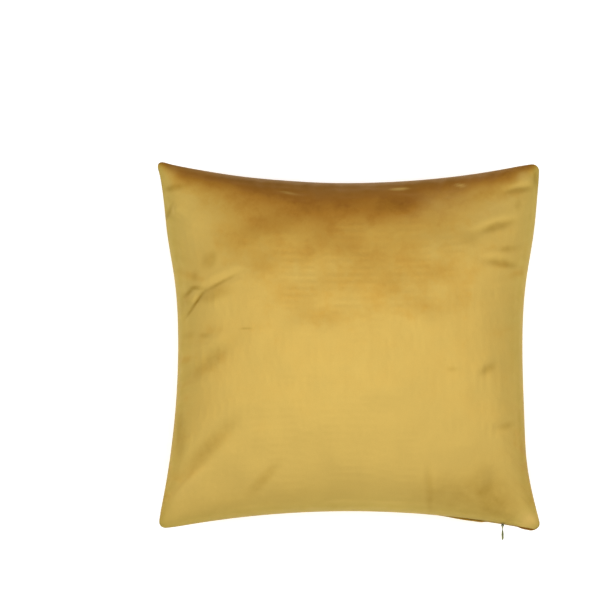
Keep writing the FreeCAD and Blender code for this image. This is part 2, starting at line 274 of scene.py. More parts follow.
def corner_headings():
    """Directions to the four corners, from the zipped left one round to the top left one."""
    found = []
    for quarter in (-180, -90, 0, 90):
        heading = np.radians(np.linspace(quarter + 30, quarter + 60, 3001))
        found.append(heading[np.argmax(reach(heading))])
    return found


CORNERS = corner_headings()


def ring_headings(cells):
    """Directions to the points of a grid's edge, evenly along each side, from the first corner."""
    headings = []
    for start, end in zip(CORNERS, CORNERS[1:] + [CORNERS[0] + 2 * math.pi]):
        fine = np.linspace(start, end, 2001)
        length = run_lengths(outline(fine))
        headings.append(np.interp(np.arange(cells) / cells * length[-1], length, fine))
    return np.concatenate(headings)


def ring_cells(cells):
    """Grid places of the same points: along the zip, up the right, back along the top and down."""
    run = np.arange(cells)
    last = np.full(cells, cells)
    first = np.zeros(cells, int)
    along_x = np.concatenate([run, last, cells - run, first])
    along_y = np.concatenate([first, run, last, cells - run])
    return along_x, along_y


def filled_square(ring, cells):
    """Grid of points spread evenly inside a ring of edge points."""
    zip_side = ring[0 : cells + 1]
    right = ring[cells : 2 * cells + 1]
    top = ring[2 * cells : 3 * cells + 1][::-1]
    left = np.concatenate([ring[3 * cells :], ring[:1]])[::-1]
    s = np.linspace(0, 1, cells + 1)[:, None, None]
    t = np.linspace(0, 1, cells + 1)[None, :, None]
    across = (1 - t) * zip_side[:, None] + t * top[:, None]
    upward = (1 - s) * left[None, :] + s * right[None, :]
    corners = (1 - s) * (1 - t) * zip_side[0] + s * (1 - t) * zip_side[-1]
    corners = corners + (1 - s) * t * top[0] + s * t * top[-1]
    return across + upward - corners


def with_rows(grid, rows, up):
    """Vertices and faces of a grid and of rows that carry on from its edge, and the last row."""
    cells = len(grid) - 1
    index = np.arange((cells + 1) ** 2).reshape(cells + 1, cells + 1)
    faces = [grid_faces(index)]
    ring = index[ring_cells(cells)]
    for number, row in enumerate(rows):
        following = index.size + number * len(row) + np.arange(len(row))
        faces.append(np.stack([np.roll(ring, -1), ring, following, np.roll(following, -1)], -1))
        ring = following
    faces = np.concatenate(faces)
    return np.concatenate([grid.reshape(-1, 3)] + rows), faces if up > 0 else faces[:, ::-1], ring


# ---- The filled cover, by cloth simulation ----


def square(half, cells):
    """The two coordinates of a square grid about its middle."""
    t = np.linspace(-half, half, cells + 1)
    return np.meshgrid(t, t, indexing="ij")


def start_grids(cells):
    """Front and back grids of a plainly domed pillow, and the flat squares they were cut as."""
    flat_xy = filled_square(outline(ring_headings(cells)), cells)
    u, v = square(1, cells)
    dome = np.sqrt((1 - u**2) * (1 - v**2))
    front = np.dstack([flat_xy, SEAM_Z + FRONT_START * (FRONT_TOP - SEAM_Z) * dome])
    back = np.dstack([flat_xy, SEAM_Z - BACK_START * SEAM_Z * dome])
    u, v = square(FLAT_SIDE / 2, cells)
    return front, back, np.dstack([u, v, np.zeros_like(u)])


def cloth_bag(front, back, flat, cells):
    """One closed bag of cloth whose rest shape is two flat squares sewn along their edges."""
    count = (cells + 1) ** 2
    front_index = np.arange(count).reshape(cells + 1, cells + 1)
    within = np.zeros_like(front_index, bool)
    within[1:-1, 1:-1] = True
    back_index = front_index.copy()
    back_index[within] = count + np.arange(within.sum())
    verts = np.concatenate([front.reshape(-1, 3), back[within]])
    rest = np.concatenate([flat.reshape(-1, 3), flat[within]])
    faces = np.concatenate([grid_faces(front_index), grid_faces(back_index, flip=True)])
    mesh = bpy.data.meshes.new("cloth_bag")
    mesh.from_pydata(verts.tolist(), [], faces.tolist())
    bag = placed("cloth_bag", mesh)
    bag.shape_key_add(name="filled")
    key = bag.shape_key_add(name="as_sewn")
    key.data.foreach_set("co", rest.astype(np.float32).ravel())
    pins = bag.vertex_groups.new(name="seam")
    pins.add(front_index[~within].tolist(), 1.0, "REPLACE")
    return bag, key, front_index, back_index


CLOTH_SETTINGS = {
    "quality": 8,
    "mass": 0.0003,
    "tension_stiffness": 15,
    "compression_stiffness": 15,
    "shear_stiffness": 5,
    "bending_stiffness": 0.2,
    "air_damping": 2,
    "vertex_group_mass": "seam",
    "use_pressure": True,
    "uniform_pressure_force": 6,
}


def simulate(front, back, flat, cells):
    """The bag swells against the floor until its cloth is taut. Returns both settled grids."""
    bag, key, front_index, back_index = cloth_bag(front, back, flat, cells)
    bpy.ops.mesh.primitive_plane_add(size=2, location=(0, 0, 0))
    ground = bpy.context.object
    ground.modifiers.new("collide", "COLLISION")
    ground.collision.thickness_outer = 1 * MM
    cloth = bag.modifiers.new("cloth", "CLOTH")
    for setting, value in CLOTH_SETTINGS.items():
        setattr(cloth.settings, setting, value)
    cloth.settings.rest_shape_key = key
    cloth.settings.effector_weights.gravity = 0
    cloth.collision_settings.distance_min = 1 * MM
    cloth.point_cache.frame_start = 1
    cloth.point_cache.frame_end = SIM_FRAMES + 1
    for number in range(1, SIM_FRAMES + 1):
        bpy.context.scene.frame_set(number)
    settled = bag.evaluated_get(bpy.context.evaluated_depsgraph_get())
    points, _ = mesh_arrays(settled.data)
    bpy.data.objects.remove(bag)
    bpy.data.objects.remove(ground)
    bpy.context.scene.frame_set(1)
    return points[front_index], points[back_index]


def fitted_heights(grid, target):
    """The grid with its heights from the seam stretched so that its crown is at a target height."""
    heights = grid[..., 2] - SEAM_Z
    peak = heights.flat[np.argmax(np.abs(heights))]
    fitted = grid.copy()
    fitted[..., 2] = SEAM_Z + heights * (target - SEAM_Z) / peak
    return fitted


def refined(grid, times):
    """The grid with each cell divided, on smooth curves through its points."""
    for axis in (0, 1):
        points = np.moveaxis(grid, axis, 0)
        before = np.concatenate([2 * points[:1] - points[1:2], points[:-2]])
        after = np.concatenate([points[2:], 2 * points[-1:] - points[-2:-1]])
        first, last = points[:-1], points[1:]
        rows = []
        for step in range(times):
            t = step / times
            curve = 2 * first + (last - before) * t
            curve = curve + (2 * before - 5 * first + 4 * last - after) * t**2
            curve = curve + (3 * first - before - 3 * last + after) * t**3
            rows.append(0.5 * curve)
        woven = np.stack(rows, 1).reshape(-1, *points.shape[1:])
        grid = np.moveaxis(np.concatenate([woven, points[-1:]]), 0, axis)
    return grid


# ---- Folds and unevenness that the photograph shows ----

# Folds in the front, in millimetres from the middle of the face: start, end, half width, depth
FRONT_FOLDS = [
    ((-185, 31), (-166, 58), 2.6, 1.5), ((-188, 52), (-176, 63), 3.2, 1.0),
    ((-170, 57), (-127, 77), 4.5, 0.9), ((-199, 160), (-206, 142), 3.0, 1.2),
    ((-192, 200), (-160, 192), 3.5, 1.2), ((-180, -38), (-136, -1), 8.0, 1.2),
    ((-186, -146), (-132, -90), 10.0, 1.3), ((-112, -169), (-82, -138), 7.0, 0.8),
    ((-202, -176), (-162, -143), 6.0, -0.9), ((145, 126), (181, 140), 5.0, 0.9),
    ((154, 94), (188, 89), 4.5, 1.0), ((206, 200), (213, 176), 3.5, 1.2),
    ((174, 173), (207, 181), 4.5, 1.0), ((150, -38), (166, -22), 5.0, 0.9),
    ((166, -98), (186, -90), 5.0, 0.9), ((178, -186), (160, -150), 9.0, 1.1),
    ((92, -192), (88, -142), 4.0, 0.6), ((-60, 178), (-20, 170), 8.0, 0.8),
    ((60, 178), (95, 166), 9.0, 0.8),
]
BACK_FOLDS = [
    ((-170, 150), (-130, 110), 9.0, 1.4), ((175, 160), (140, 118), 9.0, 1.3),
    ((-180, -150), (-140, -120), 8.0, 1.2), ((170, -165), (128, -128), 10.0, 1.4),
    ((-190, 10), (-150, 25), 8.0, 1.0), ((188, -20), (150, -5), 8.0, 1.0),
]


# Marks on the front's colour: painted shade along the creases of the folds and along the top and
# right edges, painted highlight on a ridge, and other darker and lighter patches: middle x and y,
# half length, half width, direction, change. Lengths are in millimetres and directions in degrees.
# A positive change is darker.
SHADE_AND_TONE_MARKS = [
    (-198, 179, 12, 4, 5, 0.25), (-204, 196, 9, 7, 0, -0.15), (-203, 151, 10, 2.5, 68, 0.25),
    (-157, 94, 11, 7, 55, 0.2), (-174, 77, 7, 4, 80, 0.14), (-181, 59, 8, 2.6, 42, 0.3),
    (-172, 63, 8, 2.4, -8, 0.26), (-176, 54, 7, 3.4, 45, -0.1), (-186, 46, 9, 5, 50, 0.1),
    (-175, 44, 15, 1.7, 54, 0.38), (-147, 67, 22, 2.0, 28, 0.2), (-152, 55, 19, 7, 15, 0.18),
    (-164, 9, 6, 3, 0, 0.15), (-182, 10, 7, 4, 10, 0.1), (-116, 16, 7, 1.0, 0, 0.2),
    (-158, -20, 32, 9, 41, 0.14), (-159, -118, 38, 9, 46, 0.18), (-98, -154, 22, 6, 46, 0.14),
    (-182, -160, 28, 6, 41, -0.14), (-192, -101, 26, 6, 90, 0.16), (-40, 188, 110, 12, 0, 0.16),
    (-110, 120, 50, 16, 20, 0.1), (120, 158, 60, 18, 10, -0.16), (52, 156, 24, 9, 0, 0.2),
    (57, 177, 11, 1.8, 4, -0.28), (127, 181, 6, 1.8, -10, -0.28), (-70, 172, 12, 1.6, -12, -0.14),
    (163, 133, 20, 5, 20, 0.22), (134, 118, 9, 8, 0, 0.1), (157, 150, 20, 8, 25, -0.16),
    (150, 168, 16, 5, 20, 0.14), (188, 160, 8, 4, 80, 0.15), (171, 91, 17, 4.5, -8, 0.24),
    (177, 108, 10, 4, 10, 0.18), (197, 192, 8, 6, 30, -0.35), (211, 192, 11, 3, 90, 0.25),
    (190, 176, 17, 4, 12, 0.24), (156, -29, 10, 5, 32, 0.16), (115, -30, 6, 3, 0, 0.12),
    (178, -93, 8, 4, 20, 0.15), (166, -172, 36, 24, 115, 0.17), (120, -166, 40, 22, 0, 0.08),
    (90, -167, 24, 4, 92, 0.1), (205, -199, 12, 9, 20, -0.5), (-110, -188, 110, 26, 8, 0.07),
    (130, -180, 60, 24, -8, 0.09), (203, -120, 60, 9, 96, 0.12), (203, 20, 60, 8, 84, 0.08),
    (-20, 193, 150, 7, 0, 0.16),
]


# Broad patches that make the painted shade of the slopes darker or lighter, given in the same way
SLOPE_SHADE_PATCHES = [
    (-165, 150, 50, 40, 60, -0.16), (165, 155, 75, 34, 25, -0.17), (-40, 186, 120, 14, 0, 0.16),
    (-30, 160, 60, 26, -10, 0.06), (90, 110, 70, 25, 10, -0.06), (-110, 90, 60, 25, 20, -0.06),
]


def streaks(x, y, patches):
    """How the patches change each point."""
    total = np.zeros_like(x)
    for middle_x, middle_y, half_length, half_width, direction, change in patches:
        turn = math.radians(direction)
        away_x, away_y = x - middle_x * MM, y - middle_y * MM
        along = (away_x * math.cos(turn) + away_y * math.sin(turn)) / (half_length * MM)
        across = (away_y * math.cos(turn) - away_x * math.sin(turn)) / (half_width * MM)
        total += change * np.exp(-((along**2 + across**2) ** 1.3))
    return total


def fold_depth(x, y, folds):
    """How far the folds push each point in: a groove with a low ridge beside it."""
    depth = np.zeros_like(x)
    for start, end, half_width, deep in folds:
        x0, y0, x1, y1 = (value * MM for value in (*start, *end))
        length = math.hypot(x1 - x0, y1 - y0)
        ahead_x, ahead_y = (x1 - x0) / length, (y1 - y0) / length
        along = ((x - x0) * ahead_x + (y - y0) * ahead_y) / length
        across = ((y - y0) * ahead_x - (x - x0) * ahead_y) / (half_width * MM)
        bow = 0.35 * np.sin(np.clip(along, 0, 1) * math.pi)
        across = across - bow
        ends = smoothstep(-0.35, 0.25, along) * smoothstep(1.35, 0.75, along)
        groove = np.exp(-(across**2)) - 0.55 * np.exp(-((across - 1.9) ** 2) / 1.6)
        depth += deep * MM * ends * groove
    return depth


GATHERS = [(2.6, 0.0), (3.7, 1.0), (5.3, 2.1)]  # millimetres along the seam per radian, and phase


def edge_lengths(heading):
    """Length round the outline to the edge point in each direction."""
    fine = np.linspace(-math.pi, math.pi, 4001)
    return np.interp(heading, fine, run_lengths(outline(fine)))


def shaped(grid, folds, seed, up):
    """The grid with its folds, the lumps of its filling, and the puckers of its seam."""
    x, y = grid[..., 0], grid[..., 1]
    from_edge = from_outline(x, y)
    away = smoothstep(0, 25 * MM, from_edge)
    lumps = 0.9 * smooth_noise(x, y, 120 * MM, seed) + 0.35 * smooth_noise(x, y, 45 * MM, seed + 1)
    fine = 0.35 * smooth_noise(x, y, 16 * MM, seed + 2) * np.exp(-from_edge / (12 * MM))
    around = edge_lengths(np.arctan2(y, x))
    zipped = (y < -150 * MM) & (np.abs(x) < 190 * MM)
    waves = [np.sin(around / (length * MM) + phase) for length, phase in GATHERS]
    gathers = 1.6 * sum(waves) / len(GATHERS)
    strength = 0.55 + 0.45 * smooth_noise(around, 0 * around, 150 * MM, seed + 4)
    strength = np.clip(strength, 0, 1.2) * np.where(zipped, 0.35, 1.0) * (0.7 if up > 0 else 1.1)
    swell = from_edge / (9 * MM) * np.exp(1 - from_edge / (9 * MM))
    pucker = fine + gathers * strength * swell
    resting = smoothstep(0.5 * MM, 6 * MM, grid[..., 2])
    push = (lumps * away * MM + pucker * MM) * resting - fold_depth(x, y, folds) * away**0.5
    push[0, :] = push[-1, :] = push[:, 0] = push[:, -1] = 0
    return grid + grid_normals(grid) * push[..., None] * up


# ---- Panels with their turned-in edges ----

# How the cloth runs on past the edge of a panel: distance in from the outline, height above the
# seam. On plain sides it rolls in against the other panel. Along the zip it turns back on itself.
ROLL = 0.9  # radius of the rolled edge on the plain sides, in millimetres
TURN = 0.93  # and of the turn along the zip
ZIP_HEM_TOP = 5.9 * MM  # the panel passes over the zip's turned hem at least this high
PLAIN_HEM_TOP = 2 * MM  # and over the hem of a plain side
PROUD = 2.3 * MM  # the back panel's lip shows below the front's, near the closed end of the zip
TURNED_SHADE_MARK = 0.3  # painted shade in the turn, given through the dark mark tint
TURNED_SHADE = [0.35, 0.6, 0.9, 0.95]  # painted shade on each row of the turn; deepest from there on


def rolled(radius, lip, turn):
    """An edge that rolls in and down from its lip, through a turn in degrees."""
    angles = np.radians(np.linspace(0, turn, 5))
    return [(radius - radius * math.cos(a), lip - radius * math.sin(a)) for a in angles]


def edge_profiles():
    plain = rolled(ROLL, 0.95, 90) + [(2, 0.05), (5, 0.05), (9, 0.05), (13, 0.05)]
    zipped = rolled(TURN, 1.6, 180) + [(2 * TURN, 3.0), (2.3, 3.7), (5, 3.86), (13, 3.86)]
    return np.array(plain) * MM, np.array(zipped) * MM


def zip_share(points):
    """1 beside the zip, where the edge is open, and 0 on the plain seam."""
    past_end = np.abs(zip_angle(points)) - ZIP_HALF_ANGLE
    return (points[:, 1] < -100 * MM) * (1 - smoothstep(0, 3 * MM / ZIP_RADIUS, past_end))


def proud_lip(x, y):
    """How far the back panel stands out past the front one, near the closed end of the zip.

    It stands out less where the pull tab lies along it.
    """
    stretch = smoothstep(95 * MM, 135 * MM, x) * smoothstep(216 * MM, 206 * MM, x)
    by_tab = smoothstep(25 * MM, 16 * MM, np.abs(x - TAB_X))
    near = np.clip(1 - from_outline(x, y) / (14 * MM), 0, 1) ** 2
    return PROUD * stretch * (1 - 0.65 * by_tab) * near * (y < -150 * MM)


def over_hem(x, y, from_edge, heights):
    """The panel's heights, raised where it would dip into its own turned-in hem."""
    past_end = np.abs(zip_angle(np.dstack([x, y]))) - ZIP_HALF_ANGLE
    by_zip = (y < -100 * MM) * smoothstep(14 * MM, 5 * MM, past_end * ZIP_RADIUS)
    least = PLAIN_HEM_TOP + (ZIP_HEM_TOP - PLAIN_HEM_TOP) * by_zip
    near = smoothstep(34 * MM, 18 * MM, from_edge)
    least = least * near * smoothstep(0, 2.4 * MM, from_edge)
    blend = 1.2 * MM * near
    return (heights + least + np.sqrt((heights - least) ** 2 + blend**2)) / 2


def panel_sheet(grid, up):
    """Vertices and faces of a panel's outer surface, with its turned-in edge, and its open ring."""
    cells = len(grid) - 1
    headings = ring_headings(cells)
    plain, zipped = edge_profiles()
    share = [zip_share(outline(headings, inset)) for inset in zipped[:, 0]]
    share = np.stack(share, 1)[..., None]
    profile = (1 - share) * plain[None] + share * zipped[None]
    heights = up * (grid[..., 2] - SEAM_Z)
    lip = profile[:, 0, 1]
    x, y = grid[..., 0], grid[..., 1]
    lips = np.interp(np.arctan2(y, x), headings, lip, period=2 * math.pi)
    from_edge = np.clip(from_outline(x, y), 0, None)
    heights = heights + lips * np.clip(1 - from_edge / RIM_FADE, 0, 1) ** 2
    if up < 0:
        heights = over_hem(x, y, from_edge, heights)
    heights[ring_cells(cells)] = lip
    rows = [
        np.column_stack([outline(headings, inset), height])
        for inset, height in zip(profile[:, 1:, 0].T, profile[:, 1:, 1].T)
    ]
    verts, faces, ring = with_rows(np.dstack([x, y, heights]), rows, up)
    if up < 0:
        verts[:, 1] -= proud_lip(verts[:, 0], verts[:, 1])
    verts[:, 2] = SEAM_Z + up * verts[:, 2]
    return verts, faces, ring


def thickened(verts, faces, ring, thickness):
    """A closed shell: a sheet, its copy a thickness inside it, and a strip round the open edge."""
    mesh = bpy.data.meshes.new("normals")
    mesh.from_pydata(verts.tolist(), [], faces.tolist())
    inner = verts - mesh_arrays(mesh)[1] * thickness
    bpy.data.meshes.remove(mesh)
    count = len(verts)
    after = np.roll(ring, -1)
    strip = np.stack([ring, after, after + count, ring + count], -1)
    edge_way = {(int(a), int(b)) for f in faces[-len(ring) :] for a, b in zip(f, np.roll(f, -1))}
    if (int(ring[0]), int(after[0])) in edge_way:
        strip = strip[:, ::-1]
    return np.concatenate([verts, inner]), np.concatenate([faces, faces[:, ::-1] + count, strip])


def painted_slope_shade(grid, up):
    """Painted shade of the slopes at each point, from 0 for bright to 1 for deep.

    Slopes that face the top edge, away from the zipped edge, are painted darker. On the front,
    broad patches make it darker or lighter.
    """
    normals = grid_normals(grid)
    for _ in range(6):
        normals[1:-1, 1:-1] = (
            normals[:-2, 1:-1] + normals[2:, 1:-1] + normals[1:-1, :-2] + normals[1:-1, 2:]
        ) / 4
    # Painted shade: the smoothed surface is darker the more it faces the top edge
    slope_shade = 0.15 + normals[..., 1] * up
    return slope_shade + streaks(grid[..., 0], grid[..., 1], SLOPE_SHADE_PATCHES) if up > 0 else slope_shade


def cover_panel(name, node, grid, up):
    verts, faces, ring = panel_sheet(grid, up)
    body = grid.shape[0] * grid.shape[1]
    # Painted shade for the colour ramp: deepest past the turn, graded along the turn's rows, and
    # from the slopes on the body
    nap = np.full(len(verts), 1.0)
    nap[:body] = painted_slope_shade(grid, up).ravel()
    turned = np.repeat(TURNED_SHADE, len(ring))
    nap[body : body + len(turned)] = turned
    x, y = verts[:, 0], verts[:, 1]
    marks = streaks(x, y, SHADE_AND_TONE_MARKS if up > 0 else [])
    # Painted shade in the turned edge, through the dark mark tint
    marks[body:] = TURNED_SHADE_MARK
    # Painted shade beside the seam, fading with distance from the outline
    rim = np.exp(-np.clip(from_outline(x, y), 0, None) / RIM_SHADE)
    verts, faces = thickened(verts, faces, ring, VELVET_THICKNESS)
    panel = piece(name, verts, faces, VELVET)
    for key, values in (("nap", nap), ("rim", rim), ("marks", marks)):
        attribute = panel.data.attributes.new(key, "FLOAT", "POINT")
        attribute.data.foreach_set("value", np.concatenate([values, values]).astype(np.float32))
    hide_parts(node)


# ---- Materials ----

# Colour of the pile from bright to deep: the ramp for its painted shade and its random tone
SHADE_RAMP_COLOURS = [
    (0.0, (0.60, 0.41, 0.100)), (0.20, (0.61, 0.405, 0.095)), (0.35, (0.59, 0.355, 0.068)),
    (0.50, (0.535, 0.285, 0.046)), (0.65, (0.45, 0.205, 0.026)), (0.82, (0.335, 0.135, 0.015)),
    (1.0, (0.285, 0.115, 0.011)),
]


RIM_SHADE_TINT = (0.70, 0.78, 0.58)  # painted shade: what the pile's colour is multiplied by beside the seam
MARK_TINT = (0.55, 0.46, 0.16)  # and where the marks darken it: painted shade in creases, along edges and in the turns, and darker patches
BRIGHT_PILE = (0.66, 0.45, 0.12)  # what it turns to where the marks lighten it: painted highlight on a ridge, and lighter patches


class Shader:
    """A material's node tree, with short ways to add and join nodes."""

    def __init__(self, name):
        self.material = bpy.data.materials.new(name)
        self.material.use_nodes = True
        self.tree = self.material.node_tree
        self.principled = self.tree.nodes["Principled BSDF"]

    def set(self, **values):
        for key, value in values.items():
            self.principled.inputs[key.replace("_", " ")].default_value = value

    def node(self, kind, links=None, **settings):
        made = self.tree.nodes.new(kind)
        for key, value in settings.items():
            setattr(made, key, value)
        for key, value in (links or {}).items():
            self.join(value, made.inputs[key])
        return made

    def math(self, operation, *values):
        return self.node("ShaderNodeMath", dict(enumerate(values)), operation=operation).outputs[0]

    def times(self, first, second):
        return self.math("MULTIPLY", first, second)

    def times_plus(self, value, times, plus):
        return self.math("MULTIPLY_ADD", value, times, plus)

    def attribute(self, name):
        return self.node("ShaderNodeAttribute", attribute_name=name).outputs["Fac"]

    def join(self, value, socket):
        if isinstance(value, bpy.types.NodeSocket):
            self.tree.links.new(value, socket)
        else:
            socket.default_value = value

    def noise(self, size, detail=2.0, roughness=0.5, stretch=(1, 1, 1)):
        """Noise with features of about a size in metres, stretched along the axes."""
        place = self.node("ShaderNodeTexCoord").outputs["Object"]
        scaled = self.node("ShaderNodeMapping", {"Vector": place, "Scale": stretch}).outputs[0]
        links = {"Vector": scaled, "Scale": 1 / size, "Detail": detail, "Roughness": roughness}
        return self.node("ShaderNodeTexNoise", links).outputs[0]

    def ramp(self, value, stops):
        made = self.node("ShaderNodeValToRGB", {0: value})
        elements = made.color_ramp.elements
        elements.remove(elements[1])
        elements[0].position, elements[0].color = stops[0][0], (*stops[0][1], 1)
        for place, colour in stops[1:]:
            elements.new(place).color = (*colour, 1)
        return made.outputs[0]

    def mix(self, share, first, second, blend="MIX"):
        made = self.node("ShaderNodeMix", data_type="RGBA", blend_type=blend)
        self.join(share, made.inputs[0])
        for value, socket in ((first, made.inputs[6]), (second, made.inputs[7])):
            self.join((*value, 1) if isinstance(value, tuple) else value, socket)
        return made.outputs[2]

    def bump(self, height, distance, strength, below=None):
        links = {"Height": height, "Distance": distance, "Strength": strength}
        if below is not None:
            links["Normal"] = below
        return self.node("ShaderNodeBump", links).outputs[0]

    def finish(self, colour, roughness, normal):
        for key, value in (("Base Color", colour), ("Roughness", roughness), ("Normal", normal)):
            self.join(value, self.principled.inputs[key])
        return self.material


def velvet():
    """Cut pile with a satin face: gold, with painted shade in deep brown on slopes that face the
    top edge, in the turns, in creases and beside the seam.
    """
    shader = Shader("mustard_velvet")
    shader.set(Metallic=0.35, Specular_IOR_Level=0.2, Specular_Tint=(1.0, 0.8, 0.4, 1))
    shader.set(Sheen_Weight=0.07, Sheen_Roughness=0.4, Sheen_Tint=(1.0, 0.65, 0.2, 1))
    nap, rim = shader.attribute("nap"), shader.attribute("rim")
    smudge = shader.noise(0.035, 4.0, 0.62)
    handled = shader.ramp(shader.noise(0.022, 4.0, 0.6), [(0.50, (0, 0, 0)), (0.62, (1, 1, 1))])
    streaks = shader.noise(0.009, 3.0, 0.65, (1.0, 0.5, 1.0))
    grain = shader.noise(0.0011, 2.0, 0.6)
    # The painted shade from the mesh, with random tone from the noises, picks the pile's colour
    lean = shader.times_plus(smudge, 0.30, nap)
    lean = shader.times_plus(handled, 0.06, lean)
    lean = shader.times_plus(streaks, 0.09, lean)
    lean = shader.math("SUBTRACT", lean, 0.215)
    colour = shader.ramp(lean, SHADE_RAMP_COLOURS)
    # Painted shade beside the seam
    colour = shader.mix(shader.times(rim, 0.75), colour, RIM_SHADE_TINT, "MULTIPLY")
    # Marks: painted shade in the creases, along the edges and in the turns, painted highlight on a
    # ridge, and patches of tone
    ragged = shader.times_plus(shader.noise(0.013, 3.0, 0.55), 1.3, 0.35)
    marks = shader.times(shader.attribute("marks"), ragged)
    colour = shader.mix(shader.times(marks, 2.0), colour, MARK_TINT, "MULTIPLY")
    colour = shader.mix(shader.times(marks, -2.0), colour, BRIGHT_PILE)
    shade = shader.times_plus(grain, 0.12, 0.90)
    shade = shader.times_plus(smudge, 0.10, shade)
    rgb = shader.node("ShaderNodeCombineColor", {0: shade, 1: shade, 2: shade}).outputs[0]
    colour = shader.mix(1.0, colour, rgb, "MULTIPLY")
    rough = shader.times_plus(streaks, 0.12, 0.50)
    tilt = shader.bump(streaks, 0.0005, 0.4)
    tilt = shader.bump(grain, 0.0002, 0.5, tilt)
    return shader.finish(colour, rough, tilt)


def woven(name, colour, dark, pitch):
    """A plain weave: threads over and under each other, with a little unevenness."""
    shader = Shader(name)
    shader.set(Sheen_Weight=0.15, Sheen_Roughness=0.5, Specular_IOR_Level=0.25)
    place = shader.node("ShaderNodeTexCoord").outputs["Object"]
    waves = {"Vector": place, "Scale": 1 / pitch / 20, "Distortion": 0.6}
    warp, weft = (
        shader.node("ShaderNodeTexWave", waves, bands_direction=way).outputs[1] for way in "XY"
    )
    weave = shader.times(warp, weft)
    wear = shader.noise(0.02, 3.0)
    worn = shader.times_plus(wear, 0.5, shader.times(weave, 0.6))
    tone = shader.mix(worn, dark, colour)
    rough = shader.times_plus(wear, 0.1, 0.85)
    return shader.finish(tone, rough, shader.bump(weave, pitch * 0.3, 0.7))


def twisted_thread(name, colour, dark):
    """Spun thread: fine twist lines and slight changes of shade along it."""
    shader = Shader(name)
    shader.set(Sheen_Weight=0.2, Specular_IOR_Level=0.3)
    twist = shader.noise(0.0004, 2.0, 0.6, (1.0, 1.0, 2.5))
    shade = shader.noise(0.015, 2.0)
    worn = shader.times_plus(twist, 0.6, shader.times(shade, 0.4))
    tone = shader.mix(worn, dark, colour)
    rough = shader.times_plus(twist, 0.2, 0.6)
    return shader.finish(tone, rough, shader.bump(twist, 0.0001, 0.6))


def grained(name, noise, tones, rough, **settings):
    """A plain surface with a faint grain in its colour, gloss and relief."""
    shader = Shader(name)
    shader.set(**settings)
    grain = shader.noise(*noise)
    tone = shader.mix(grain, *tones)
    return shader.finish(tone, shader.times_plus(grain, *rough), shader.bump(grain, 0.00004, 0.4))


def enamel(name, dark, worn, gloss):
    """Baked olive-khaki paint on the slider and tab, rubbed lighter in places."""
    shader = Shader(name)
    shader.set(Specular_IOR_Level=gloss, Coat_Weight=0.3 * gloss, Coat_Roughness=0.3)
    wear = shader.noise(0.004, 4.0, 0.6)
    peel = shader.noise(0.0006, 2.0, 0.5)
    tone = shader.mix(shader.ramp(wear, [(0.45, (0, 0, 0)), (0.7, (1, 1, 1))]), dark, worn)
    rough = shader.times_plus(wear, 0.25, 0.32)
    return shader.finish(tone, rough, shader.bump(peel, 0.00005, 0.3))


def fibre():
    """Matted polyester fibre: strands at several sizes."""
    shader = Shader("polyester_fibre")
    shader.set(Sheen_Weight=0.4, Sheen_Roughness=0.6, Specular_IOR_Level=0.2)
    strands = shader.noise(0.006, 6.0, 0.75, (1.0, 0.35, 0.6))
    clumps = shader.noise(0.04, 3.0, 0.6)
    tone = shader.mix(strands, (0.74, 0.74, 0.72), (0.93, 0.93, 0.92))
    rough = shader.times_plus(clumps, 0.1, 0.85)
    return shader.finish(tone, rough, shader.bump(strands, 0.001, 0.8))


VELVET = velvet()
COVER_THREAD = twisted_thread("gold_thread", (0.50, 0.33, 0.08), (0.30, 0.19, 0.04))
WHITE_TONES = ((0.86, 0.86, 0.84), (0.66, 0.66, 0.64))
INSERT_THREAD = twisted_thread("white_thread", *WHITE_TONES)
TAPE = woven("zip_tape_weave", (0.46, 0.36, 0.12), (0.28, 0.21, 0.06), 0.5 * MM)
INSERT_CLOTH = woven("insert_cloth_weave", *WHITE_TONES, 0.8 * MM)
NYLON = grained(
    "coil_nylon",
    (0.002, 2.0, 0.5, (0.3, 1.0, 1.0)),
    ((0.30, 0.24, 0.08), (0.42, 0.34, 0.13)),
    (0.12, 0.34),
    Specular_IOR_Level=0.5,
)
TAB_PAINT = enamel("tab_enamel", (0.12, 0.14, 0.03), (0.21, 0.225, 0.07), 0.3)
# The slider's enamel is a much darker copy of the tab's
SLIDER_PAINT = enamel("slider_enamel", (0.045, 0.04, 0.015), (0.09, 0.08, 0.03), 0.2)
STOP_METAL = grained(
    "stop_metal",
    (0.001, 3.0, 0.6, (1.0, 0.3, 1.0)),
    ((0.42, 0.41, 0.38), (0.62, 0.61, 0.58)),
    (0.2, 0.35),
    Metallic=1.0,
)
FIBRE = fibre()


# ---- Build the cover ----


def settled_grids():
    front, back, flat = start_grids(SIM_CELLS)
    front, back = simulate(front, back, flat, SIM_CELLS)
    return fitted_heights(front, FRONT_TOP), fitted_heights(back, 0.0)


def edge_on_outline(grid):
    """The same grid with its edge points exactly on the outline, evenly along each side."""
    cells = len(grid) - 1
    grid = grid.copy()
    grid[ring_cells(cells)] = level(outline(ring_headings(cells)), 0)
    return grid


sim_front, sim_back = settled_grids()
front_grid = shaped(edge_on_outline(refined(sim_front, REFINE)), FRONT_FOLDS, 11, 1)
back_grid = shaped(edge_on_outline(refined(sim_back, REFINE)), BACK_FOLDS, 23, -1)
back_grid[..., 2] = np.maximum(back_grid[..., 2], 0.0)
GRIDS = (("front", front_grid, 1), ("back", back_grid, -1))
cover_panel("velvet_front_panel", "cover_front_panel", front_grid, 1)
cover_panel("velvet_back_panel", "cover_back_panel", back_grid, -1)


# ---- Threads and tubes ----


def zip_place(angle, out, height):
    """Points beside the zip: an angle about its arc's centre, then out from and above the seam."""
    angle, out, height = np.broadcast_arrays(angle, out, height)
    radius = ZIP_RADIUS - out * MM
    x = ZIP_CENTRE[0] + radius * np.sin(angle)
    y = ZIP_CENTRE[1] + radius * np.cos(angle)
    return np.stack([x, y, SEAM_Z + height * MM], -1)


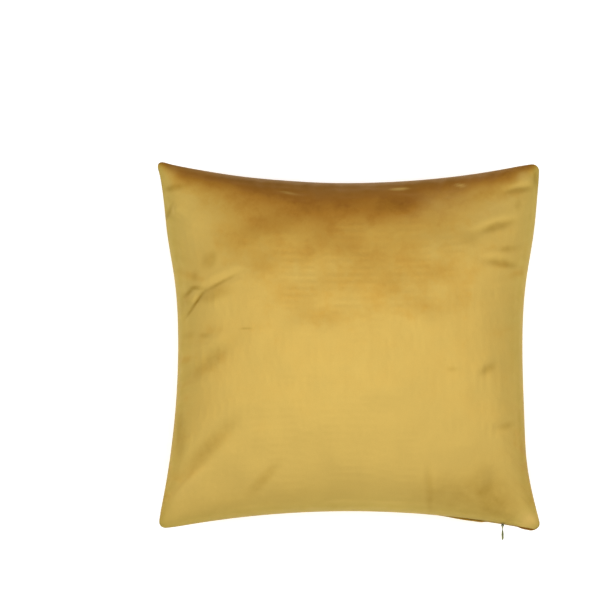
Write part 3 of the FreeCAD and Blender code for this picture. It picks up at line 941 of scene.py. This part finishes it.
def along_arc(circle, start, end, step):
    """Angles in even steps along a side's arc."""
    count = max(2, round(abs(end - start) * circle[1] / (step * MM)))
    return np.linspace(start, end, count)


def plain_route(inset, step, skip):
    """Evenly spaced points along the plain sides, an inset in, and the way they run."""
    heading = np.linspace(-math.pi / 2, 1.5 * math.pi, 12001)
    points = outline(heading, inset * MM)
    angle = zip_angle(points)
    keep = (points[:, 1] > -100 * MM) | (np.abs(angle) > skip)
    points = points[keep]
    length = run_lengths(points)
    places = np.linspace(0, length[-1], round(length[-1] / (step * MM)))
    spaced = np.stack([np.interp(places, length, points[:, k]) for k in (0, 1)], -1)
    ahead = np.gradient(spaced, axis=0)
    return spaced, ahead / np.linalg.norm(ahead, axis=1, keepdims=True)


def lofted(rings):
    """Vertices and faces of a closed solid through rings of points, shaped (rings, sides, 3)."""
    count, sides = rings.shape[:2]
    index = np.arange(count * sides).reshape(count, sides)
    turned = np.roll(index, -1, axis=1)
    quads = np.stack([index[:-1], turned[:-1], turned[1:], index[1:]], -1).reshape(-1, 4)
    faces = quads.tolist() + [index[0][::-1].tolist(), index[-1].tolist()]
    return rings.reshape(-1, 3), faces


def winding(count, steps):
    """Angles that wind round and round, with so many steps to a turn."""
    return np.arange(count) * 2 * math.pi / steps


def spokes(first, second, sides):
    """Directions from a strand's middle to its sides, from two directions across it."""
    turn = winding(sides, sides)[:, None]
    return first[..., None, :] * np.cos(turn) + second[..., None, :] * np.sin(turn)


def tube(points, guides, radius):
    """A round strand along points. guides are directions kept on one side of it."""
    ahead = np.gradient(points, axis=0)
    ahead /= np.linalg.norm(ahead, axis=1, keepdims=True)
    side = guides - (guides * ahead).sum(1, keepdims=True) * ahead
    side /= np.linalg.norm(side, axis=1, keepdims=True)
    return lofted(points[:, None] + radius * spokes(side, np.cross(ahead, side), 5))


def stitch_row(starts, ends, lift, radius):
    """Separate stitches from starts to ends: short strands that arch a little along lift."""
    places = np.array([0.0, 0.08, 0.3, 0.7, 0.92, 1.0])
    swell = np.array([0.35, 0.8, 1.0, 1.0, 0.8, 0.35])[:, None, None]
    arch = np.sin(places * math.pi) * 0.35
    stitches = []
    for start, end in zip(starts, ends):
        ahead = (end - start) / np.linalg.norm(end - start)
        middles = start + np.outer(places, end - start) + np.outer(arch * radius, lift)
        around = spokes(np.cross(ahead, lift), lift, 6)
        stitches.append(lofted(middles[:, None] + radius * swell * around))
    return added(stitches)


def added(groups):
    """Several sets of vertices and faces as one."""
    verts, faces, base = [], [], 0
    for own, own_faces in groups:
        verts.append(own)
        faces += [[base + int(n) for n in face] for face in own_faces]
        base += len(own)
    return np.concatenate(verts), faces


UP = np.array([0.0, 0.0, 1.0])
STITCH = 3.0  # millimetres from one stitch to the next
THREAD_RADIUS = 0.15 * MM
SEAM_ROW = 3.14  # millimetres in from the outline to the stitches of the plain seam
LOOP = 2.4  # millimetres from one overlock loop to the next
LOOP_STEPS = 8  # points in each loop


def standing_for(made, node):
    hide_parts(node)
    return made


def thread(name, node, groups, material=COVER_THREAD):
    standing_for(piece(name, *added(groups), material), node)


def seam_stitches():
    groups = []
    points, _ = plain_route(SEAM_ROW, STITCH, PAST_ZIP)
    for up in (1, -1):
        row = level(points, up * 1.05)
        start = row[:-1] + 0.1 * (row[1:] - row[:-1])
        end = row[:-1] + 0.9 * (row[1:] - row[:-1])
        groups.append(stitch_row(start, end, UP * up, THREAD_RADIUS))
    thread("seam_stitches", "cover_seam_stitching", groups)


HEM_END = -14.35  # depth of the hem's raw edge along the zip
HEM_MIDDLE = 4.28  # and the height of the middle of its cloth


def overlock_threads():
    """Loops over the raw edges: down one face, round the edge, and back along the other."""
    step = LOOP / LOOP_STEPS
    points, ahead = plain_route(11.2, step, PAST_ZIP + 3.5 * MM / ZIP_RADIUS)
    inward = np.column_stack([-ahead[:, 1], ahead[:, 0]])
    turn = winding(len(points), LOOP_STEPS)
    depth = 1.15 * (1 - np.cos(turn))
    route = level(points + inward * depth[:, None] * MM, 0)
    route[:, 2] += 1.12 * MM * np.sin(turn)
    guide = np.column_stack([inward * -np.cos(turn)[:, None], np.sin(turn)])
    groups = [tube(route, guide, 0.14 * MM)]
    angle = along_arc(CIRCLES["zip"], -ZIP_HALF_ANGLE, ZIP_HALF_ANGLE, step)
    turn = winding(len(angle), LOOP_STEPS)
    for up in (1, -1):
        out = HEM_END + 0.22 * np.cos(turn)
        bead = zip_place(angle, out, up * (HEM_MIDDLE + 0.3 * np.sin(turn)))
        around = zip_place(angle, HEM_END + np.cos(turn), up * (HEM_MIDDLE + np.sin(turn)))
        groups.append(tube(bead, around - zip_place(angle, HEM_END, up * HEM_MIDDLE), 0.12 * MM))
    thread("overlock_threads", "cover_overlock_edging", groups)


def zip_tapes():
    """Woven tape: it stands beside its coil, bends, and runs in along the allowance."""
    section = [(-4.2, 2.14)]
    section += [
        (-4.5 + 0.3 * math.cos(a), 3.5 + 0.3 * math.sin(a)) for a in np.radians([0, 30, 60, 90])
    ]
    section += [(-8, 3.8), (-12, 3.8), (-15.9, 3.8), (-16, 3.6)]
    section += [(-15.9, 3.42), (-12, 3.42), (-8, 3.42), (-4.8, 3.42), (-4.6, 3.22), (-4.6, 2.14)]
    out, height = np.array(section).T
    angle = along_arc(CIRCLES["zip"], -ZIP_HALF_ANGLE, ZIP_HALF_ANGLE, 1.5)
    for name, up in FACES:
        rings = zip_place(angle[:, None], out[None], up * height[None])
        rings[..., 2] += 0.05 * MM * np.sin(np.arange(len(angle)) * 1.7)[:, None] * (out < -9)
        verts, faces = lofted(rings)
        if up > 0:
            faces = [face[::-1] for face in faces]
        made = piece(f"{name}_tape", verts, faces, TAPE)
        standing_for(made, f"zip_{name}_tape")


def zip_coils():
    """Nylon strand wound in flattened turns, one coil on each tape."""
    pitch, radius, steps = 1.2, 0.24, 10
    depth, rise = -4.3, 1.45  # of the coil's middle, from the seam
    turns = int((COIL_END - COIL_START) * (ZIP_RADIUS / MM - depth) / pitch)
    turn = winding(turns * steps + 1, steps)
    inside_end = 0.5 * MM / ZIP_RADIUS
    angle = np.linspace(COIL_START + inside_end, COIL_END - inside_end, len(turn))
    for name, up in FACES:
        out = depth + (1.0 - radius) * np.cos(turn)
        height = up * (rise + (0.57 - radius) * np.sin(turn))
        route = zip_place(angle, out, height)
        guide = route - zip_place(angle, depth, up * rise)
        verts, faces = tube(route, guide, radius * MM)
        made = piece(f"{name}_coil", verts, faces, NYLON)
        standing_for(made, f"zip_{name}_coil")


TAPE_SEAM = -8.86  # depth of the row that holds each tape


def zip_stitches():
    angle = along_arc(CIRCLES["zip"], -ZIP_HALF_ANGLE, ZIP_HALF_ANGLE, STITCH)
    step = angle[1] - angle[0]
    for name, up in FACES:
        groups = []
        for height, lift in ((3.2, -up), (4.9, up)):
            start, end = (
                zip_place(angle[:-1] + share * step, TAPE_SEAM, up * height) for share in (0.1, 0.9)
            )
            groups.append(stitch_row(start, end, UP * lift, THREAD_RADIUS))
        thread(f"{name}_tape_stitches", f"zip_{name}_stitching", groups)


def bar_tacks():
    """Close threads side by side across the end of the zip, on both faces of the allowances."""
    groups = []
    out = np.arange(-5.8, -3.1, 0.28)
    half = 0.75 * MM / ZIP_RADIUS
    for middle in (-TACK_MIDDLE, TACK_MIDDLE):
        for up in (1, -1):
            lean = 0.15 * MM / ZIP_RADIUS * (-1) ** np.arange(len(out))
            start = zip_place(middle - half + lean, out, up * 1.12)
            end = zip_place(middle + half + lean, out + 0.12, up * 1.12)
            groups.append(stitch_row(start, end, UP * up, THREAD_RADIUS))
    thread("bar_tacks", "zip_end_tacks", groups)


seam_stitches()
overlock_threads()
zip_tapes()
zip_coils()
zip_stitches()
bar_tacks()


# ---- The insert ----


def resampled(grid, places):
    """The grid at other, fractional rows and columns."""
    low = np.clip(np.floor(places).astype(int), 0, len(grid) - 2)
    share = places - low
    rows = grid[low] * (1 - share)[:, None, None] + grid[low + 1] * share[:, None, None]
    return rows[:, low] * (1 - share)[None, :, None] + rows[:, low + 1] * share[None, :, None]


INSERT_ROW = 16.75  # millimetres in from the outline to the stitches of the insert's seam
CLOSING_ROW = 16.7  # and to those over the gap that the filling went in by
GAP_HALF = 90  # half the length of that gap, in millimetres


def inner_sheet(cover_grid, up, cells, share, depth, seam_inset, clear):
    """A sheet that lines the cover, then turns down and in to its own seam.

    share is how much of the cover it lines. clear is how far above the seam it passes the hem.
    """
    places = (np.linspace(-share, share, cells + 1) + 1) / 2 * (len(cover_grid) - 1)
    grid = resampled(cover_grid - up * depth * MM * grid_normals(cover_grid), places)
    edge = grid[ring_cells(cells)]
    heading = np.arctan2(edge[:, 1], edge[:, 0])
    seam = level(outline(heading, seam_inset * MM), up * 0.12)
    rise = up * (edge[:, 2] - SEAM_Z)
    over, beside = edge.copy(), seam.copy()
    over[:, 2] = SEAM_Z + up * np.minimum(clear * MM, 0.7 * rise)
    beside[:, 2] = SEAM_Z + up * np.minimum(1.5 * clear * MM, 0.8 * rise)
    rows = []
    for t in np.linspace(0, 1, 9)[1:]:
        a, b, c, d = (1 - t) ** 3, 3 * t * (1 - t) ** 2, 3 * t**2 * (1 - t), t**3
        rows.append(a * edge + b * over + c * beside + d * seam)
    return with_rows(grid, rows, up)


def insert_panels():
    for name, grid, up in GRIDS:
        verts, faces, ring = inner_sheet(
            grid, up, cells=96, share=0.965, depth=1.5, seam_inset=17.0, clear=5.9
        )
        verts, faces = thickened(verts, faces, ring, 0.4 * MM)
        made = piece(f"insert_{name}_cloth", verts, faces, INSERT_CLOTH)
        standing_for(made, f"insert_{name}_panel")


def fibre_body():
    groups = []
    for _, grid, up in GRIDS:
        verts, faces, ring = inner_sheet(
            grid, up, cells=64, share=0.955, depth=2.8, seam_inset=18.2, clear=7.2
        )
        verts[ring, 2] = SEAM_Z
        tufts = smooth_noise(verts[:, 0], verts[:, 1], 9 * MM, 5) * 0.25 * MM
        tufts[ring] = 0
        verts[:, 2] += tufts
        groups.append((verts, faces))
    verts, faces = added(groups)
    made = piece("fibre_body", verts, faces, FIBRE)
    welded = made.modifiers.new("weld", "WELD")
    welded.merge_threshold = 0.01 * MM
    apply_modifiers(made)
    standing_for(made, "insert_fibre_fill")


def insert_seam_stitches():
    points, _ = plain_route(INSERT_ROW, STITCH, -1)
    top_end = (GAP_HALF + STITCH) * MM / CIRCLES["top"][1]
    angle = np.arctan2(points[:, 0] - CIRCLES["top"][0][0], CIRCLES["top"][0][1] - points[:, 1])
    clear = (np.abs(angle) > top_end) | (points[:, 1] < 0)
    start, end = level(points[:-1], -0.3), level(points[1:], 0.3)
    row = stitch_row(start[clear[:-1]], end[clear[:-1]], UP, 0.13 * MM)
    thread(
        "insert_seam_stitches", "insert_seam_stitching", [row], INSERT_THREAD
    )


def insert_closing_stitches():
    """Hand-sized whip stitches over the gap that the filling went in by."""
    centre, radius = CIRCLES["top"]
    half = GAP_HALF * MM / radius
    angle = along_arc(CIRCLES["top"], -half, half, 4.0)
    distance = radius + CLOSING_ROW * MM
    points = centre + distance * np.stack([np.sin(angle), -np.cos(angle)], -1)
    row = stitch_row(level(points[:-1], -0.6), level(points[1:], 0.6), UP, 0.22 * MM)
    thread(
        "insert_closing_stitches", "insert_closing_stitching", [row], INSERT_THREAD
    )


insert_panels()
fibre_body()
insert_seam_stitches()
insert_closing_stitches()


# ---- Slider, tab and stops ----


def fuller(made, hinge, extra):
    """Thicken the piece by a little, away from its hinge."""
    points, normals = mesh_arrays(made.data)
    away = smoothstep(4 * MM, 8 * MM, np.linalg.norm(points - hinge, axis=1))
    made.data.vertices.foreach_set("co", (points + normals * extra * away[:, None]).ravel())
    made.data.update()


def cast(name, node, body, voxel, material):
    """The CAD piece as a casting: its edges rounded and its faces slightly soft."""
    made = frame["nodes"][node].copy()
    made.data = made.data.copy()
    made.name = name
    bpy.context.scene.collection.objects.link(made)
    remesh = made.modifiers.new("cells", "REMESH")
    remesh.mode = "VOXEL"
    remesh.voxel_size = voxel
    remesh.use_smooth_shade = True
    soften = made.modifiers.new("soften", "SMOOTH")
    soften.factor = 0.5
    soften.iterations = 3
    apply_modifiers(made)
    made.data.materials.clear()
    made.data.materials.append(material)
    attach(made, body)
    standing_for(made, node)
    return made


cast("slider_casting", "zip_slider_body", "zip_slider", 0.11 * MM, SLIDER_PAINT)
tab = cast("pull_tab_casting", "zip_pull_tab", "pull_tab", 0.09 * MM, TAB_PAINT)
fuller(tab, np.array(frame["joints"][1]["pos_m"]), 0.22 * MM)
for stop in ("zip_top_stops", "zip_bottom_stop"):
    for cad_slot in frame["nodes"][stop].material_slots:
        cad_slot.material = STOP_METAL


# ---- Floor, light and camera ----


def floor():
    shader = Shader("pale_floor")
    shader.set(Base_Color=(0.80, 0.80, 0.79, 1), Roughness=0.9, Specular_IOR_Level=0.1)
    shader.set(Emission_Color=(1, 1, 1, 1), Emission_Strength=0.5)
    mesh = bpy.data.meshes.new("floor")
    corners = [(-6, -6, 0), (6, -6, 0), (6, 6, 0), (-6, 6, 0)]
    mesh.from_pydata(corners, [], [(0, 1, 2, 3)])
    mesh.materials.append(shader.material)
    made = placed("floor", mesh)
    made.location.z = -0.2 * MM


def softbox(name, place, side, watts):
    """A square soft light, turned towards the pillow."""
    light = bpy.data.lights.new(name, "AREA")
    light.shape = "RECTANGLE"
    light.size = light.size_y = side
    light.energy = watts
    made = placed(name, light)
    made.location = place
    aim = Vector((0, 0, SEAM_Z)) - made.location
    made.rotation_euler = aim.to_track_quat("-Z", "Y").to_euler()


def studio():
    world = bpy.data.worlds.new("studio")
    world.use_nodes = True
    background = world.node_tree.nodes["Background"]
    background.inputs[0].default_value = (1, 1, 1, 1)
    background.inputs[1].default_value = 0.29
    bpy.context.scene.world = world
    softbox("overhead", (0, 0, 4.5), 2.5, 74)
    softbox("front", (0, -3.0, 3.4), 1.5, 29)
    softbox("left", (-3.0, 0, 3.4), 1.5, 41)
    softbox("right", (3.0, 0, 3.4), 1.5, 42)
    bpy.context.scene.view_settings.view_transform = "Standard"


def camera():
    """Nearly straight above, a little towards the zipped edge, through a long lens."""
    data = bpy.data.cameras.new("camera")
    made = placed("camera", data)
    distance = 4.0
    tilt = math.radians(4.0)
    seen_width = 0.685
    data.lens = data.sensor_width * distance / seen_width
    aim = Vector((-0.056, 0.052, SEAM_Z))
    made.location = aim + Vector((0, -math.sin(tilt), math.cos(tilt))) * distance
    made.rotation_euler = (tilt, 0, 0)
    data.clip_end = 50
    bpy.context.scene.camera = made


floor()
studio()
camera()
